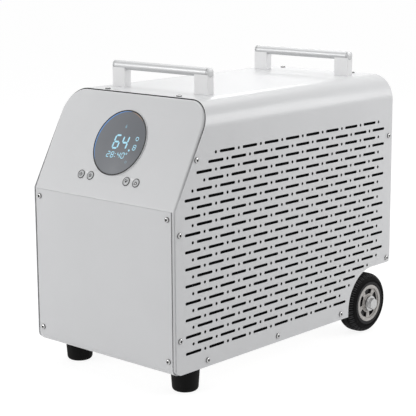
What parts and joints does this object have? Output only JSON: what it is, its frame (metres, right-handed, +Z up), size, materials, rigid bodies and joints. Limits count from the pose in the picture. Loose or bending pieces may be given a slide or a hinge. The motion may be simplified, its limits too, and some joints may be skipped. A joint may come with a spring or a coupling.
{
  "type": "hot cold therapy machine",
  "caption": "Sheet-metal water chiller and heater for cold plunges: slanted console with round display and buttons, slotted sides, two handles, feet and rear wheels.",
  "frame": {"origin": "on the floor, at the centre of the bounding box in plan", "axes": "+Y from the front panel to the rear panel, +Z up, +X to the right of someone who faces the console"},
  "size_m": [0.3112, 0.559, 0.47],
  "materials": {
    "shell_paint": "satin white powder coat",
    "panel_paint": "satin light grey powder coat",
    "steel": "galvanised sheet",
    "screw_steel": "polished stainless",
    "zinc_steel": "bright zinc",
    "filter_mat": "matt woven mat",
    "black_rubber": "matt",
    "tyre_rubber": "matt",
    "hub_plastic": "satin moulded",
    "bush_plastic": "satin",
    "black_plastic": "satin",
    "display_glass": "gloss tinted",
    "board_green": "satin",
    "chrome_ring": "polished",
    "button_plastic": "gloss",
    "fin_black": "matt coated fins",
    "black_paint": "gloss black",
    "fan_plastic": "matt",
    "valve_brass": "satin",
    "copper_pipe": "drawn copper",
    "tank_plastic": "satin",
    "pump_plastic": "satin",
    "filter_plastic": "gloss",
    "hose_rubber": "matt",
    "port_steel": "turned stainless"
  },
  "bodies": {
    "casing": {"base_pan": "steel", "front_frame": "panel_paint", "front_cover": "panel_paint", "top_shell": "shell_paint", "side_grille_right": "shell_paint", "side_grille_left": "shell_paint", "rear_panel": "shell_paint", "case_screws": "screw_steel", "dust_screen_right": "filter_mat", "dust_screen_left": "filter_mat", "front_handle_rod": "shell_paint", "front_handle_posts": "shell_paint", "rear_handle_rod": "shell_paint", "rear_handle_posts": "shell_paint", "handle_screws": "screw_steel", "foot_left": "black_rubber", "foot_right": "black_rubber", "foot_screws": "zinc_steel", "axle_brackets": "zinc_steel", "axle_rod": "steel", "axle_spacers": "zinc_steel", "axle_end_bolts": "zinc_steel", "display_bezel": "black_plastic", "display_lens": "display_glass", "display_module": "black_plastic", "console_board": "board_green", "console_standoffs": "zinc_steel", "button_bezels": "chrome_ring", "button_switches": "black_plastic", "condenser": "fin_black", "fan_shroud": "steel", "fan_motor": "black_paint", "fan_bracket": "zinc_steel", "compressor": "black_paint", "compressor_grommets": "black_rubber", "suction_accumulator": "black_paint", "reversing_valve": "valve_brass", "filter_drier": "copper_pipe", "refrigerant_pipes": "copper_pipe", "heat_exchanger": "tank_plastic", "circulation_pump": "pump_plastic", "water_filter": "filter_plastic", "water_hoses": "hose_rubber", "water_ports": "port_steel", "port_nuts": "port_steel", "power_inlet": "black_plastic", "rocker_switch_body": "black_plastic", "control_box": "steel"},
    "left_wheel": {"wheel_hub_left": "hub_plastic", "wheel_tyre_left": "tyre_rubber", "wheel_bush_left": "bush_plastic"},
    "right_wheel": {"wheel_hub_right": "hub_plastic", "wheel_tyre_right": "tyre_rubber", "wheel_bush_right": "bush_plastic"},
    "fan": {"fan_blade": "fan_plastic"},
    "power_cap": {"power_button": "button_plastic"},
    "mode_cap": {"mode_button": "button_plastic"},
    "down_cap": {"down_button": "button_plastic"},
    "up_cap": {"up_button": "button_plastic"},
    "rocker": {"rocker_switch_key": "black_plastic"}
  },
  "joints": [
    {"name": "left_wheel_spin", "type": "hinge", "parent": "casing", "child": "left_wheel", "pos_m": [-0.129, 0.19905, 0.05], "axis": [1, 0, 0], "continuous": true},
    {"name": "right_wheel_spin", "type": "hinge", "parent": "casing", "child": "right_wheel", "pos_m": [0.129, 0.19905, 0.05], "axis": [1, 0, 0], "continuous": true},
    {"name": "fan_spin", "type": "hinge", "parent": "casing", "child": "fan", "pos_m": [0.066, -0.0452, 0.2034], "axis": [1, 0, 0], "continuous": true},
    {"name": "power_press", "type": "slide", "parent": "casing", "child": "power_cap", "axis": [0, 0.887, -0.4617], "range_m": [0, 0.001], "stiffness_N_per_m": 500},
    {"name": "mode_press", "type": "slide", "parent": "casing", "child": "mode_cap", "axis": [0, 0.887, -0.4617], "range_m": [0, 0.001], "stiffness_N_per_m": 500},
    {"name": "down_press", "type": "slide", "parent": "casing", "child": "down_cap", "axis": [0, 0.887, -0.4617], "range_m": [0, 0.001], "stiffness_N_per_m": 500},
    {"name": "up_press", "type": "slide", "parent": "casing", "child": "up_cap", "axis": [0, 0.887, -0.4617], "range_m": [0, 0.001], "stiffness_N_per_m": 500},
    {"name": "rocker_tilt", "type": "hinge", "parent": "casing", "child": "rocker", "pos_m": [-0.06, 0.24555, 0.168], "axis": [0, 0, 1], "range_deg": [0, 18]}
  ]
}
